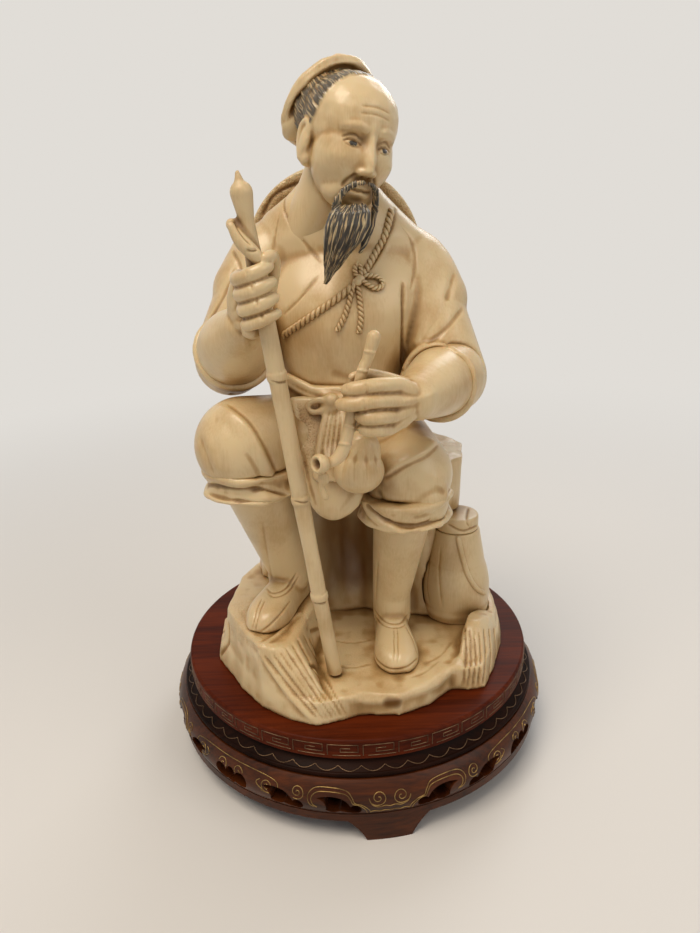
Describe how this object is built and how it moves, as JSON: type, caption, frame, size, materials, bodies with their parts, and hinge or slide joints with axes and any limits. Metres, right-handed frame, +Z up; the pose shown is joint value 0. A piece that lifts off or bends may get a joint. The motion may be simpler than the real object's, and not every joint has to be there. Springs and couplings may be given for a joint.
{
  "type": "okimono carving on a round stand",
  "caption": "Carved ivory-style okimono of a seated old man with staff, pipe, hat and basket on a rock, set on a round openwork wooden stand with inlaid wire.",
  "frame": {"origin": "centre of the stand's footprint, level with the undersides of its feet", "axes": "+Z up, the seated figure faces -Y, +X towards the viewer's right when facing the figure"},
  "size_m": [0.1248, 0.1248, 0.2026],
  "materials": {
    "ivory": "polished carved ivory, warm cream, with a yellow-brown patina in its recesses",
    "dark_wood": "dark stained hardwood, satin, with brass-coloured wire inlay",
    "brass_pin": "plain drawn brass"
  },
  "bodies": {
    "stand": {"stand_top_disc": "dark_wood", "stand_waist": "dark_wood", "stand_apron": "dark_wood", "stand_base_ring": "dark_wood", "stand_foot_front": "dark_wood", "stand_foot_left": "dark_wood", "stand_foot_back": "dark_wood", "stand_foot_right": "dark_wood", "locating_pins": "brass_pin"},
    "carving": {"rock_base": "ivory", "seat_stump": "ivory", "basket": "ivory", "basket_lid": "ivory", "basket_strap": "ivory", "right_shoe": "ivory", "left_shoe": "ivory", "right_shin": "ivory", "left_shin": "ivory", "right_cuff": "ivory", "left_cuff": "ivory", "right_breeches_leg": "ivory", "left_breeches_leg": "ivory", "robe_torso": "ivory", "right_sleeve": "ivory", "left_sleeve": "ivory", "right_forearm": "ivory", "left_forearm": "ivory", "robe_flap": "ivory", "belt_sash": "ivory", "pouch": "ivory", "neck_dowel": "ivory", "head": "ivory", "beard": "ivory", "cap": "ivory", "back_hat": "ivory", "pipe": "ivory"},
    "staff": {"staff": "ivory"}
  },
  "joints": [
    {"name": "lift_off_stand", "type": "slide", "parent": "stand", "child": "carving", "axis": [0, 0, 1], "range_m": [0, 0.06]},
    {"name": "draw_staff", "type": "slide", "parent": "carving", "child": "staff", "axis": [-0.1149, -0.0647, 0.9913], "range_m": [0, 0.11]}
  ]
}
